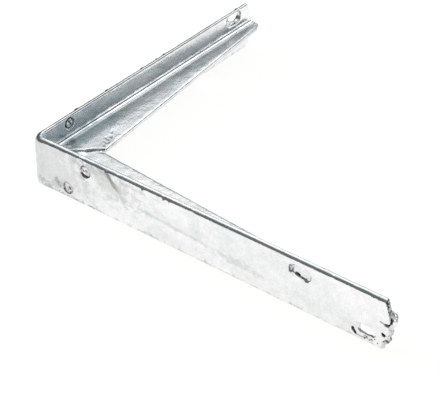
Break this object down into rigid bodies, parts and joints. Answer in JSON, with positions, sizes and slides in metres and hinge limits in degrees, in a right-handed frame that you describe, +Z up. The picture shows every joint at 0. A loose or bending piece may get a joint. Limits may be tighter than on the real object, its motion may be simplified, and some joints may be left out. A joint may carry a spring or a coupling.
{
  "type": "shelf bracket",
  "caption": "Right-angled shelf bracket bent from T section, with tapering mitred webs, fixing holes and slots.",
  "frame": {"origin": "middle of the bracket's bounding box, on the surface that it lies on", "axes": "+X along the long arm away from the corner, +Y along the short arm away from the corner, +Z up across the width of the flange"},
  "size_m": [0.305, 0.255, 0.04],
  "materials": {
    "zinc": "hot-dip galvanised, bright and slightly mottled"
  },
  "bodies": {
    "root": {"bracket": "zinc"}
  },
  "joints": []
}
